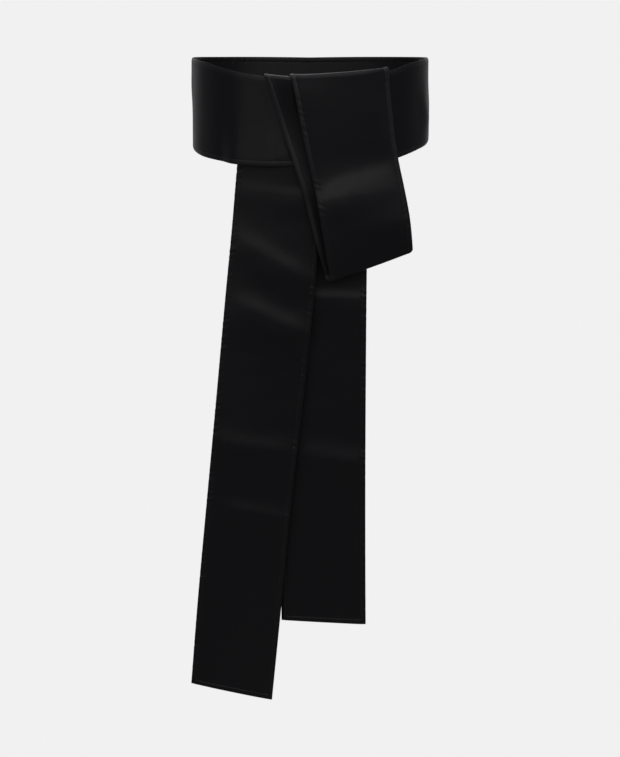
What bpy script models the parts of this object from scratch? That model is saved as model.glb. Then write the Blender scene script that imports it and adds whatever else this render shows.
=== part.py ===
"""A silk belt: one wide satin sash, worn once round the waist and tied in a half bow at the front.

The cloth keeps the worn form, with the waist open. The front is at -Y, +X is to the viewer's right
and +Z is up, in metres. The origin is the middle of the wearer's waist, halfway up the band.
Every stretch of the sash is an open surface between a left and a right edge, which a Solidify
modifier turns into a wall. Where stretches lie on each other, each one is a layer that is counted
outwards from the wearer.
"""
import math

import bmesh
import bpy

MILLIMETRE = 0.001

# The wearer's waist is an ellipse, measured to the inner face of the cloth.
WAIST_HALF_WIDTH = 119.5
WAIST_HALF_DEPTH = 88.0

CLOTH = 1.6          # a flat tube of two satin layers
LAYER = 2.2          # from the middle of one layer to the middle of the next
EDGE_ROUND = 0.4     # rounding of every cut edge of the wall
SEAM_GAP = 0.3       # between two stretches that run on into each other

# Layers at the knot, from the wearer outwards.
INNER_RETURN = 0     # the loop's front half after it has gone over the top edge
RISER = 1            # the sash on its way up to the loop
BAND_INNER_END = 2
TAIL_TUCK = 3
BAND_OUTER_END = 4
LOOP_BACK = 5
LOOP_FRONT = 6

BAND_COLUMNS = 5
BAND_ROWS_PER_TURN = 96
LOOP_COLUMNS = 10
# Riser, over the edge, back half, lower fold, front half and inner return; over the edge comes twice.
LOOP_ROWS = (7, 8, 26, 6, 28, 7)
TAIL_COLUMNS = 10
FRONT_TAIL_ROWS = 62
BACK_TAIL_ROWS = 46

BAND_OUTER_TURN = 24.0      # where the outer end stops, in degrees to the right of the front
BAND_INNER_TURN = -388.0    # where the inner end stops, after a whole turn by the left

# Upper and lower edge of the band, in degrees from the front; the viewer's left is negative.
BAND_EDGES = {
    "turn": (-180, -135, -90, -61, -48, -36, -22, -7, 10, 30, 43, 56, 72, 90, 135, 180),
    "top": (42.0, 43.8, 45.5, 43.0, 39.2, 35.0, 30.4, 27.6, 27.4, 31.4, 36.2, 41.6, 44.4, 45.5,
            43.8, 42.0),
    "bottom": (-49.5, -49.0, -47.4, -53.0, -55.7, -58.6, -59.4, -59.6, -59.6, -58.0, -54.5, -49.6,
               -44.5, -40.7, -46.0, -49.5),
}

# How many layers lie under the band, along its own run.
BAND_LAYERS = {
    "turn": (-388, -332, -315, -300, -284, -80, -60, -45, -36, 24),
    "layer": (BAND_INNER_END, BAND_INNER_END, 1.1, 0.45, 0.0, 0.0, 1.0, 2.9, BAND_OUTER_END,
              BAND_OUTER_END),
}

# The two halves of the loop from the band's top edge, at along 0, to the fold at the bottom. A
# height at the top follows the band's edge instead. "hang" is how far the stretch has left the
# waist's curve for its own hanging plane, whose depths in front of the waist's middle follow.
LOOP_BACK_HALF = {
    "along": (0.0, 0.10, 0.30, 0.48, 0.60, 0.75, 0.88, 1.0),
    "left_x": (-45.1, -38.6, -26.6, -14.9, -8.0, 0.6, 8.0, 15.6),
    "left_z": (28.0, 10.0, -27.0, -62.0, -84.0, -115.0, -142.0, -166.5),
    "right_x": (50.0, 54.0, 63.0, 71.0, 77.0, 84.5, 92.5, 100.6),
    "right_z": (30.0, 16.0, -15.0, -46.0, -66.0, -92.0, -117.0, -139.4),
    "hang": (0.0, 0.0, 0.0, 0.0, 0.4, 0.9, 1.0, 1.0),
    "left_depth": (98.0, 98.0, 99.0, 99.6, 99.8, 100.0, 100.6, 101.0),
    "right_depth": (90.0, 90.0, 86.0, 84.5, 82.0, 79.0, 77.0, 76.0),
    "belly": (6.0, 6.0, 6.5, 7.0, 7.0, 5.5, 3.5, 2.5),
}
LOOP_FRONT_HALF = {
    "along": (0.0, 0.12, 0.28, 0.42, 0.52, 0.64, 0.80, 0.91, 1.0),
    "left_x": (-18.9, -14.2, -8.6, -2.8, 1.4, 7.0, 12.8, 17.2, 20.4),
    "left_z": (28.0, 8.0, -21.0, -48.0, -68.0, -93.0, -126.0, -150.0, -170.0),
    "right_x": (80.0, 81.6, 84.4, 87.6, 91.4, 96.6, 101.4, 103.6, 104.9),
    "right_z": (36.0, 14.0, -12.0, -40.0, -60.0, -84.0, -108.0, -125.0, -140.8),
    "hang": (0.0, 0.0, 0.0, 0.08, 0.4, 0.9, 1.0, 1.0, 1.0),
    "left_depth": (102.0, 102.0, 102.0, 103.0, 105.5, 109.0, 110.5, 110.0, 108.0),
    "right_depth": (74.0, 74.0, 74.0, 75.0, 79.0, 84.0, 86.5, 85.5, 83.0),
    "belly": (5.0, 5.0, 5.0, 6.0, 6.5, 6.5, 5.0, 3.0, 2.0),
}
# Where the loop's front half comes down off the back half at its right, as a share of its width,
# and the layer that its right edge lies on.
LOOP_FRONT_SIDE = {
    "along": (0.0, 0.12, 0.28, 0.42, 1.0),
    "ease_from": (0.73, 0.76, 0.82, 0.88, 0.92),
    "edge_layer": (2.9, 3.1, 3.8, 4.4, 4.8),
}
# The stretches inside the band, from its top edge down.
RETURN_END = -48.0
RISER_RUN = {
    "along": (0.0, 0.5, 1.0),
    "left_x": (-46.6, -44.5, -42.0),
    "left_z": (28.0, -10.0, -50.0),
    "right_x": (48.6, 50.5, 52.5),
    "right_z": (30.0, -10.0, -50.0),
}
RETURN_RUN = {
    "along": (0.0, 0.5, 1.0),
    "left_x": (-21.0, -30.0, -35.6),
    "left_z": (28.0, -8.0, RETURN_END),
    "right_x": (78.0, 69.0, 62.0),
    "right_z": (36.0, -8.0, RETURN_END),
}
# How far each fold stands past the points that it joins, in height.
BACK_OVER_EDGE = 2.6
FRONT_OVER_EDGE = 4.8
FRONT_OVER_EDGE_AT_RIGHT = 3.4
LOWER_FOLD = 3.6

FRONT_TAIL = {
    "height": (14.0, -25.0, -59.0, -85.0, -122.0, -196.0, -300.0, -404.0, -508.0, -595.4),
    "left_x": (-70.0, -72.0, -73.7, -75.6, -78.5, -85.6, -95.0, -104.8, -114.5, -121.9),
    "right_x": (20.0, 18.0, 15.5, 13.6, 10.8, 4.3, -6.9, -19.1, -29.9, -39.5),
    "right_drop": (0.0, 0.0, 0.0, 0.0, 0.0, 0.0, 1.0, 4.0, 8.0, 12.9),
    "hang": (0.0, 0.0, 0.0, 0.4, 0.8, 1.0, 1.0, 1.0, 1.0, 1.0),
    "left_depth": (78.0, 78.0, 78.0, 79.0, 80.0, 81.0, 82.0, 82.0, 82.0, 82.0),
    "right_depth": (95.0, 95.0, 95.0, 95.6, 96.0, 96.5, 96.0, 95.5, 95.0, 95.0),
    "belly": (5.0, 5.0, 5.0, 5.4, 5.6, 5.0, 4.2, 3.6, 3.0, 2.6),
}
BACK_TAIL = {
    "height": (RETURN_END - SEAM_GAP, -75.0, -110.0, -165.0, -240.0, -320.0, -400.0, -470.0, -525.2),
    "left_x": (-35.6, -36.0, -35.4, -34.2, -33.0, -31.8, -30.6, -29.8, -29.1),
    "right_x": (62.0, 60.2, 58.6, 57.3, 56.6, 56.2, 56.1, 56.4, 56.9),
    "right_drop": (0.0, 0.0, 0.0, 0.0, 0.0, 1.0, 2.2, 3.6, 5.2),
    "hang": (0.0, 0.1, 0.4, 0.8, 1.0, 1.0, 1.0, 1.0, 1.0),
    "left_depth": (84.6, 84.6, 85.0, 86.0, 87.0, 87.6, 88.0, 88.0, 88.0),
    "right_depth": (76.6, 77.6, 79.0, 81.0, 83.0, 84.0, 84.6, 85.0, 85.0),
    "belly": (4.4, 4.2, 3.8, 3.2, 2.6, 2.0, 1.6, 1.4, 1.2),
}

# The folds that show most, as soft ridges: from one point to another in x and height, how far the
# ridge stands out in front and how wide it is to each side.
RIDGES = {
    "stretch": ("front_tail", "front_tail", "front_tail", "front_tail", "front_tail", "back_tail",
                "back_tail", "loop_front"),
    "from_x": (-68.0, -76.0, -74.0, -90.0, -92.0, 0.0, -8.0, 12.0),
    "from_z": (-84.0, -126.0, -203.0, -334.0, -403.0, -189.0, -340.0, -98.0),
    "to_x": (6.0, -12.0, 2.0, -18.0, -26.0, 52.0, 50.0, 92.0),
    "to_z": (-84.0, -158.0, -228.0, -353.0, -416.0, -192.0, -362.0, -66.0),
    "rise": (1.6, 1.8, 2.2, 1.8, 1.4, 1.6, 1.8, 1.4),
    "half_width": (13.0, 14.0, 17.0, 15.0, 12.0, 15.0, 16.0, 17.0),
}

SATIN_COLOUR = (0.0056, 0.0052, 0.0066, 1.0)
SATIN_ROUGHNESS = 0.38


def smooth(table, column, key, at):
    """Value of a table's column at a place between its rows, on a curve through all of them."""
    places = table[key]
    values = table[column]
    count = len(places)
    falling = places[0] > places[-1]
    if falling:
        places = [-place for place in places]
        at = -at
    at = min(max(at, places[0]), places[-1])
    row = 0
    while row < count - 2 and at > places[row + 1]:
        row += 1

    def slope(index):
        low = max(index - 1, 0)
        high = min(index + 1, count - 1)
        return (values[high] - values[low]) / (places[high] - places[low])

    span = places[row + 1] - places[row]
    share = (at - places[row]) / span
    start = slope(row) * span
    end = slope(row + 1) * span
    rise = values[row + 1] - values[row]
    return (values[row] + share * start + share ** 2 * (3 * rise - 2 * start - end)
            + share ** 3 * (start + end - 2 * rise))


def ease(share):
    """0 to 1 with a soft start and a soft end."""
    share = min(max(share, 0.0), 1.0)
    return share * share * (3.0 - 2.0 * share)


def mix(start, end, share):
    return start + (end - start) * share


def layer_offset(layer):
    """Distance from the wearer to the middle of a layer."""
    return CLOTH / 2 + LAYER * layer


def waist_depth(x, layer):
    """How far in front of the waist's middle a layer lies at this x."""
    offset = layer_offset(layer)
    across = min(abs(x) / (WAIST_HALF_WIDTH + offset), 0.999)
    return (WAIST_HALF_DEPTH + offset) * math.sqrt(1.0 - across * across)


def band_edge_height(x, edge):
    """Height of the band's top or bottom edge at the front, at this x."""
    turn = math.degrees(math.asin(min(max(x / (WAIST_HALF_WIDTH + 8.0), -1.0), 1.0)))
    return smooth(BAND_EDGES, edge, "turn", turn)


def band_point(across, along):
    """A point of the band: across from its bottom edge, along from its outer end."""
    turn = mix(BAND_OUTER_TURN, BAND_INNER_TURN, along)
    offset = layer_offset(smooth(BAND_LAYERS, "layer", "turn", turn))
    around = (turn + 180.0) % 360.0 - 180.0
    height = mix(smooth(BAND_EDGES, "bottom", "turn", around),
                 smooth(BAND_EDGES, "top", "turn", around), across)
    angle = math.radians(turn)
    x = (WAIST_HALF_WIDTH + offset) * math.sin(angle)
    forward = (WAIST_HALF_DEPTH + offset) * math.cos(angle)
    return x, -forward, height


def hanging_depth(table, key, at, across):
    """Depth of a stretch that hangs free of the waist: a plane with a slight belly."""
    left = smooth(table, "left_depth", key, at)
    right = smooth(table, "right_depth", key, at)
    belly = smooth(table, "belly", key, at)
    return mix(left, right, across) + belly * 4.0 * across * (1.0 - across)


def edge_to_edge(table, along, across):
    """x and height between the left and the right edge, level with the band's edge at the top."""
    x = mix(smooth(table, "left_x", "along", along), smooth(table, "right_x", "along", along), across)
    height = mix(smooth(table, "left_z", "along", along), smooth(table, "right_z", "along", along),
                 across)
    top = mix(table["left_z"][0], table["right_z"][0], across)
    at_edge = 1.0 - ease(along / 0.4)
    return x, height + (band_edge_height(x, "top") - top) * at_edge


def ridges(owner, x, height):
    """How far this stretch's folds stand out here."""
    total = 0.0
    for row, stretch_name in enumerate(RIDGES["stretch"]):
        if stretch_name != owner:
            continue
        start_x, start_z = RIDGES["from_x"][row], RIDGES["from_z"][row]
        run_x, run_z = RIDGES["to_x"][row] - start_x, RIDGES["to_z"][row] - start_z
        length = math.hypot(run_x, run_z)
        share = ((x - start_x) * run_x + (height - start_z) * run_z) / length ** 2
        aside = ((x - start_x) * run_z - (height - start_z) * run_x) / length
        ends = ease((share + 0.25) / 0.5) * ease((1.25 - share) / 0.5)
        width = aside / RIDGES["half_width"][row]
        total += RIDGES["rise"][row] * math.exp(-width * width) * ends
    return total


def loop_back_point(along, across):
    x, height = edge_to_edge(LOOP_BACK_HALF, along, across)
    worn = waist_depth(x, LOOP_BACK)
    free = hanging_depth(LOOP_BACK_HALF, "along", along, across)
    return x, -mix(worn, free, smooth(LOOP_BACK_HALF, "hang", "along", along)), height


def loop_front_point(along, across):
    x, height = edge_to_edge(LOOP_FRONT_HALF, along, across)
    start = smooth(LOOP_FRONT_SIDE, "ease_from", "along", along)
    edge_layer = smooth(LOOP_FRONT_SIDE, "edge_layer", "along", along)
    layer = mix(LOOP_FRONT, edge_layer, ease((across - start) / (1.0 - start)))
    worn = waist_depth(x, layer)
    free = hanging_depth(LOOP_FRONT_HALF, "along", along, across) + ridges("loop_front", x, height)
    return x, -mix(worn, free, smooth(LOOP_FRONT_HALF, "hang", "along", along)), height


def riser_point(along, across):
    x, height = edge_to_edge(RISER_RUN, along, across)
    return x, -waist_depth(x, RISER), height


def return_point(along, across):
    x, height = edge_to_edge(RETURN_RUN, along, across)
    return x, -waist_depth(x, INNER_RETURN), height


def turned_over(start, end, rise, share):
    """A point on the half ellipse from start to end, with its top or bottom 'rise' away in height."""
    angle = math.pi * share
    middle = [(a + b) / 2 for a, b in zip(start, end)]
    half = [(b - a) / 2 for a, b in zip(start, end)]
    point = [m - h * math.cos(angle) for m, h in zip(middle, half)]
    point[2] += rise * math.sin(angle)
    return tuple(point)


def loop_point(across, row):
    """A point of the loop at a whole row number, counted from the riser's lower end."""
    riser_rows, over_rows, back_rows, fold_rows, front_rows, return_rows = LOOP_ROWS
    if row <= riser_rows:
        return riser_point(1.0 - row / riser_rows, across)
    row -= riser_rows
    if row < over_rows:
        return turned_over(riser_point(0.0, across), loop_back_point(0.0, across), BACK_OVER_EDGE,
                           row / over_rows)
    row -= over_rows
    if row <= back_rows:
        return loop_back_point(row / back_rows, across)
    row -= back_rows
    if row < fold_rows:
        return turned_over(loop_back_point(1.0, across), loop_front_point(1.0, across),
                           -LOWER_FOLD, row / fold_rows)
    row -= fold_rows
    if row <= front_rows:
        return loop_front_point(1.0 - row / front_rows, across)
    row -= front_rows
    if row < over_rows:
        start = LOOP_FRONT_SIDE["ease_from"][0]
        rise = mix(FRONT_OVER_EDGE, FRONT_OVER_EDGE_AT_RIGHT,
                   ease((across - start) / (1.0 - start)))
        return turned_over(loop_front_point(0.0, across), return_point(0.0, across), rise,
                           row / over_rows)
    row -= over_rows
    return return_point(row / return_rows, across)


def tail_point(owner, table, layer, across, along):
    """A point of a tail: across from its left edge, along from its hidden upper end."""
    height = mix(table["height"][0], table["height"][-1], along)
    x = mix(smooth(table, "left_x", "height", height), smooth(table, "right_x", "height", height),
            across)
    worn = waist_depth(x, layer)
    free = hanging_depth(table, "height", height, across) + ridges(owner, x, height)
    forward = mix(worn, free, smooth(table, "hang", "height", height))
    drop = smooth(table, "right_drop", "height", height) * across
    return x, -forward, height - drop


def satin(name):
    material = bpy.data.materials.new(name)
    material.use_nodes = True
    shader = material.node_tree.nodes["Principled BSDF"]
    shader.inputs["Base Color"].default_value = SATIN_COLOUR
    shader.inputs["Roughness"].default_value = SATIN_ROUGHNESS
    shader.inputs["Metallic"].default_value = 0.0
    material.diffuse_color = SATIN_COLOUR
    return material


def stretch(name, columns, rows, point, collection):
    """One stretch of the sash: a grid laid on point(across, row) and given its wall."""
    mesh = bpy.data.meshes.new(name)
    shape = bmesh.new()
    bmesh.ops.create_grid(shape, x_segments=columns, y_segments=rows, size=1.0)
    for vertex in shape.verts:
        across = (vertex.co.x + 1.0) / 2
        row = round((vertex.co.y + 1.0) / 2 * rows)
        vertex.co = [value * MILLIMETRE for value in point(across, row)]
    shape.to_mesh(mesh)
    shape.free()
    piece = bpy.data.objects.new(name, mesh)
    collection.objects.link(piece)
    mesh.materials.append(satin(name + "_satin"))
    wall = piece.modifiers.new("wall", "SOLIDIFY")
    wall.thickness = CLOTH * MILLIMETRE
    wall.offset = 0.0
    wall.use_even_offset = True
    rounding = piece.modifiers.new("edges", "BEVEL")
    rounding.width = EDGE_ROUND * MILLIMETRE
    rounding.segments = 1
    rounding.limit_method = "ANGLE"
    rounding.angle_limit = math.radians(60.0)
    mesh.shade_smooth()
    mesh.set_sharp_from_angle(angle=math.radians(50.0))
    return piece


def main():
    for old in list(bpy.data.objects):
        bpy.data.objects.remove(old, do_unlink=True)
    collection = bpy.data.collections.new("silk_belt")
    bpy.context.scene.collection.children.link(collection)

    band_rows = round(BAND_ROWS_PER_TURN * (BAND_OUTER_TURN - BAND_INNER_TURN) / 360.0)
    stretch("waist_band", BAND_COLUMNS, band_rows,
            lambda across, row: band_point(across, row / band_rows), collection)
    stretch("loop", LOOP_COLUMNS, sum(LOOP_ROWS) + LOOP_ROWS[1], loop_point, collection)
    stretch("front_tail", TAIL_COLUMNS, FRONT_TAIL_ROWS,
            lambda across, row: tail_point("front_tail", FRONT_TAIL, TAIL_TUCK, across,
                                           row / FRONT_TAIL_ROWS), collection)
    stretch("back_tail", TAIL_COLUMNS, BACK_TAIL_ROWS,
            lambda across, row: tail_point("back_tail", BACK_TAIL, INNER_RETURN, across,
                                           row / BACK_TAIL_ROWS), collection)


main()
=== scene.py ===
# %% [markdown]
# # A black silk satin sash, tied in a half bow
# The belt is one long flat tube of satin, about 92 mm wide. It goes once round the waist, and its
# two ends cross at the front under the knot. One end comes out below the band as the front tail.
# The other goes up inside, over the band's top edge, down the front and up again as a loop, over
# the same edge once more, and hangs behind as the back tail.
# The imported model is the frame: it holds each stretch as a plain wall. This script puts a finer
# cloth in the place of each wall, with rolled edges, stitching, creases and a satin finish.

# %% Load the frame
import math

import bpy
import numpy as np
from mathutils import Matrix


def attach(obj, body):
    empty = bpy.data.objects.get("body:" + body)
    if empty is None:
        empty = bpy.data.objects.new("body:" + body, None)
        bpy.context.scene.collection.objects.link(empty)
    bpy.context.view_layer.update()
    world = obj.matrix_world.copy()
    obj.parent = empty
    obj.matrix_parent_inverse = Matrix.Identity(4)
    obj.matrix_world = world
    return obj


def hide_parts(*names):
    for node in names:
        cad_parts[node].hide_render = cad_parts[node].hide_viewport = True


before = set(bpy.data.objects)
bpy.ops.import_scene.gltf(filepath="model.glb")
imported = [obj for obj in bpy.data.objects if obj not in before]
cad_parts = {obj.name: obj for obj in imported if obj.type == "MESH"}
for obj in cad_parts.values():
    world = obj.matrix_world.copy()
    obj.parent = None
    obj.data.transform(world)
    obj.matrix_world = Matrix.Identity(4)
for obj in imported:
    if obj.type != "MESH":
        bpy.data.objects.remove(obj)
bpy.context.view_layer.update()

MM = 0.001
print("frame nodes:", sorted(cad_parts))

# %% [markdown]
# ## The tables
# A draped strip can be drawn from its two long edges. Each table has a row for each section of a
# stretch: where its left and right edges run, and how far in front of the waist they hang. They
# are the frame's own tables, in millimetres, with some edges moved by up to 4 mm, so that the fine
# cloth lies on the same form. A simulated knot would be slow, and wouldn't fall as the real one
# did.

# %% Sizes of the waist and of the cloth
WAIST_HALF_WIDTH = 119.5
WAIST_HALF_DEPTH = 88.0
WALL = 1.6                   # the frame's wall
LAYER = 2.2                  # from one layer's middle to the next one's
INNER_RETURN, RISER, BAND_INNER_END, TAIL_TUCK, BAND_OUTER_END, LOOP_BACK, LOOP_FRONT = range(7)
SASH_WIDTH = 92.0

BAND_OUTER_TURN = 24.0       # degrees to the right of the front
BAND_INNER_TURN = -388.0     # after a whole turn by the left
RETURN_END = -48.0           # height where the loop ends and the back tail begins
SEAM_GAP = 0.3
print("waist", 2 * WAIST_HALF_WIDTH, "by", 2 * WAIST_HALF_DEPTH, "mm inside")

# %% The waist band
BAND_EDGES = {
    "turn": (-180, -135, -90, -61, -48, -36, -22, -7, 10, 30, 43, 56, 72, 90, 135, 180),
    "top": (41.5, 43.3, 45.3, 43.0, 39.2, 35.0, 30.4, 27.6, 28.8, 32.1, 35.8, 41.6, 44.4, 45.3,
            43.3, 41.5),
    "bottom": (-49.5, -49.0, -48.4, -54.0, -56.0, -57.9, -59.2, -59.6, -59.6, -58.4, -55.2, -50.4,
               -45.4, -41.6, -46.4, -49.5),
}
BAND_LAYERS = {
    "turn": (-388, -332, -315, -300, -284, -92, -74, -60, -48, -36, -24, 24),
    "layer": (BAND_INNER_END, BAND_INNER_END, 1.1, 0.45, 0.0, 0.0, 0.45, 1.35, 2.65, 3.8,
              BAND_OUTER_END, BAND_OUTER_END),
}

# %% The loop, from the band's top edge at 0 to its lower fold at 1
LOOP_BACK_HALF = {
    "along": (0.0, 0.10, 0.30, 0.48, 0.60, 0.75, 0.88, 1.0),
    "left_x": (-45.1, -38.6, -26.6, -14.9, -8.0, 0.6, 8.0, 15.6),
    "left_z": (28.0, 10.0, -27.0, -62.0, -84.0, -116.0, -144.5, -170.0),
    "right_x": (50.0, 54.0, 63.0, 71.0, 77.0, 84.5, 92.5, 100.6),
    "right_z": (30.0, 16.0, -15.0, -46.0, -66.0, -93.0, -119.5, -143.2),
    "hang": (0.0, 0.0, 0.0, 0.0, 0.4, 0.9, 1.0, 1.0),
    "left_depth": (98.0, 98.0, 99.0, 99.6, 99.8, 100.0, 100.6, 101.0),
    "right_depth": (90.0, 90.0, 86.0, 84.5, 82.0, 79.0, 77.0, 76.0),
    "belly": (6.0, 6.0, 6.5, 7.0, 7.0, 5.5, 3.5, 2.5),
}
LOOP_FRONT_HALF = {
    "along": (0.0, 0.12, 0.28, 0.42, 0.52, 0.64, 0.80, 0.91, 1.0),
    "left_x": (-18.9, -14.2, -8.6, -2.8, 1.4, 7.0, 12.8, 17.2, 20.4),
    "left_z": (28.0, 8.0, -21.0, -48.0, -68.0, -93.5, -127.5, -152.8, -173.5),
    "right_x": (80.0, 81.6, 84.4, 87.6, 91.4, 96.6, 101.4, 103.6, 104.9),
    "right_z": (36.0, 14.0, -12.0, -40.0, -60.0, -84.5, -110.0, -128.2, -144.6),
    "hang": (0.0, 0.0, 0.0, 0.08, 0.4, 0.9, 1.0, 1.0, 1.0),
    "left_depth": (102.0, 102.0, 102.0, 102.4, 103.4, 105.2, 108.2, 108.8, 108.0),
    "right_depth": (74.0, 74.0, 74.2, 75.4, 77.6, 80.4, 84.0, 84.4, 83.0),
    "belly": (5.0, 5.0, 5.0, 6.0, 6.5, 6.5, 5.0, 3.0, 2.0),
    "ease_from": (0.73, 0.76, 0.82, 0.88, 0.892, 0.90, 0.91, 0.916, 0.92),
    "edge_layer": (2.9, 3.1, 3.8, 4.4, 4.47, 4.55, 4.66, 4.74, 4.8),
}
LOOP_LIFT = {                # the back half's left edge stands off, up to this share of its width
    "along": (0.0, 0.25, 0.5, 0.8, 1.0),
    "lift": (2.6, 3.0, 3.2, 1.4, 0.0),
    "share": (0.12, 0.12, 0.12, 0.10, 0.08),
}
LOOP_STAND_OFF = {           # the front half's left edge stands off the back half
    "along": (0.0, 0.1, 0.3, 0.5, 0.8, 1.0),
    "left": (5.8, 6.1, 5.0, 3.8, 1.8, 0.0),
}
STAND_OFF_SHARE = 0.7        # of the loop's width
RISER_RUN = {
    "along": (0.0, 0.5, 1.0),
    "left_x": (-46.6, -44.5, -42.0),
    "left_z": (28.0, -10.0, -50.0),
    "right_x": (48.6, 50.5, 52.5),
    "right_z": (30.0, -10.0, -50.0),
}
RETURN_RUN = {
    "along": (0.0, 0.5, 1.0),
    "left_x": (-21.0, -30.0, -35.6),
    "left_z": (28.0, -8.0, RETURN_END),
    "right_x": (78.0, 69.0, 62.0),
    "right_z": (36.0, -8.0, RETURN_END),
}
BACK_OVER_EDGE = 2.6         # how far each fold reaches past the ends of its runs
FRONT_OVER_EDGE = 3.4
FRONT_OVER_EDGE_AT_RIGHT = 2.6
LOWER_FOLD = 3.6
FRONT_ABOVE_EDGE = 1.5       # how far above the band's edge the front fold begins

# %% The two tails, from their hidden upper ends down
FRONT_TAIL = {
    "height": (14.0, -25.0, -59.0, -85.0, -122.0, -196.0, -300.0, -404.0, -508.0, -595.6),
    "left_x": (-70.0, -72.2, -74.0, -76.2, -79.3, -86.5, -96.1, -106.0, -115.7, -122.8),
    "right_x": (20.0, 18.0, 15.5, 13.6, 10.8, 4.3, -6.9, -19.1, -29.7, -39.0),
    "right_drop": (0.0, 0.0, 0.0, 0.0, 0.0, 0.0, 1.0, 4.0, 8.6, 14.6),
    "hang": (0.0, 0.0, 0.0, 0.4, 0.8, 1.0, 1.0, 1.0, 1.0, 1.0),
    "left_depth": (78.0, 78.0, 78.0, 79.0, 80.0, 81.0, 82.0, 82.0, 82.0, 82.0),
    "right_depth": (95.0, 95.0, 95.0, 95.6, 96.0, 96.5, 96.0, 95.5, 95.0, 95.0),
    "belly": (5.0, 5.0, 5.0, 5.4, 5.6, 5.0, 4.2, 3.6, 3.0, 2.6),
}
BACK_TAIL = {
    "height": (RETURN_END - SEAM_GAP, -75.0, -110.0, -165.0, -240.0, -320.0, -400.0, -470.0,
               -527.8),
    "left_x": (-35.6, -36.0, -35.4, -34.2, -33.0, -31.8, -30.6, -29.8, -29.1),
    "right_x": (62.0, 60.2, 59.0, 58.2, 57.6, 57.2, 57.1, 57.3, 57.7),
    "right_drop": (0.0, 0.0, 0.0, 0.0, 0.0, 1.0, 2.2, 3.6, 5.2),
    "hang": (0.0, 0.1, 0.4, 0.8, 1.0, 1.0, 1.0, 1.0, 1.0),
    "left_depth": (84.6, 84.6, 85.0, 86.0, 87.0, 87.6, 88.0, 88.0, 88.0),
    "right_depth": (76.6, 77.6, 79.0, 81.0, 83.0, 84.0, 84.6, 85.0, 85.0),
    "belly": (4.4, 4.2, 3.8, 3.2, 2.6, 2.0, 1.6, 1.4, 1.2),
}

# %% [markdown]
# ## Soft creases
# Satin shows its shape by its sheen: a slope of ten degrees is already a clear band of light. Each
# crease here is a soft ridge between two points, with a rise and its own reach above and below,
# all in millimetres. The light lies on its upper slope, so a short reach above makes a narrow band
# of light with a sharp lower end. On the tails and the loop the points are x and height. On the
# band they are the distance round from the front, and height, so the same table serves its hidden
# sides.

# %% Creases of every stretch
CREASES = {
    "front_tail": {
        "from_x": (-82.0, -76.0, -80.0, -76.0, -96.0, -84.0, -100.0, -90.5),
        "from_z": (-83.0, -71.0, -131.0, -199.0, -342.0, -410.0, -505.0, -521.0),
        "to_x": (8.0, 4.0, -2.0, -2.0, -14.0, -16.0, -60.0, -88.0),
        "to_z": (-92.5, -74.0, -177.0, -233.0, -352.0, -418.0, -520.0, -524.0),
        "rise": (3.0, 0.4, 2.8, 3.0, 2.1, 1.7, 0.3, 0.35),
        "above": (9.5, 6.0, 12.0, 13.0, 12.0, 9.5, 12.0, 2.4),
        "below": (18.0, 7.0, 24.0, 28.0, 26.0, 20.0, 14.0, 2.4),
    },
    "back_tail": {
        "from_x": (-6.0, -8.0, 30.0, 45.0, -8.0, 41.0),
        "from_z": (-194.2, -356.0, -430.0, -455.0, -404.0, -500.0),
        "to_x": (66.0, 62.0, 35.0, 50.0, 40.0, 45.0),
        "to_z": (-197.3, -366.0, -505.0, -515.0, -415.0, -530.0),
        "rise": (1.9, 2.4, 0.35, 0.35, 0.3, 0.3),
        "above": (8.0, 14.0, 6.0, 5.0, 14.0, 5.0),
        "below": (26.0, 26.0, 6.0, 5.0, 16.0, 5.0),
    },
    "loop_front": {
        "from_x": (28.0, -2.0, 60.0, 10.0, 50.0),
        "from_z": (-86.0, -106.0, -122.0, 8.0, -60.0),
        "to_x": (112.0, 32.0, 96.0, 60.0, 62.0),
        "to_z": (-58.0, -88.0, -112.0, -6.0, -88.0),
        "rise": (4.2, 2.0, 0.3, 0.25, -0.35),
        "above": (13.0, 12.0, 14.0, 16.0, 8.0),
        "below": (25.0, 22.0, 14.0, 16.0, 8.0),
    },
    "loop_back": {
        "from_x": (-14.0, -50.0),
        "from_z": (-84.0, 34.0),
        "to_x": (60.0, -14.0),
        "to_z": (-78.0, 34.0),
        "rise": (0.4, 7.4),
        "above": (14.0, 12.0),
        "below": (14.0, 38.0),
    },
    "waist_band": {
        "from_x": (-40.0, -36.0, -27.0, -32.0, -440.0, -215.0, -500.0, -330.0, -150.0, -72.0,
                   -470.0, -540.0),
        "from_z": (-53.0, -44.0, -30.0, -54.0, 20.0, -30.0, -20.0, 16.0, 22.0, -72.0, 60.0, -24.0),
        "to_x": (-16.0, -30.0, -22.0, -14.0, -485.0, -250.0, -530.0, -375.0, -185.0, -24.0, -190.0,
                 -440.0),
        "to_z": (-51.0, -34.0, -54.0, -52.0, -8.0, 4.0, 6.0, -12.0, 6.0, -74.0, 60.0, -24.0),
        "rise": (0.4, 0.3, 0.4, -0.3, 0.7, 0.8, 0.6, 0.7, 0.5, 6.0, 4.0, 1.6),
        "above": (5.0, 5.0, 2.6, 2.2, 12.0, 11.0, 12.0, 12.0, 14.0, 46.0, 20.0, 40.0),
        "below": (4.0, 5.0, 2.6, 2.2, 14.0, 13.0, 12.0, 13.0, 14.0, 20.0, 50.0, 40.0),
    },
}

# %% [markdown]
# ## From tables to surfaces
# All the functions work on whole arrays: "across" runs from the left edge (0) to the right edge
# (1) of the sash, which are the band's top and bottom, and "along" down its length. A table column
# becomes a smooth curve through its rows.

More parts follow.
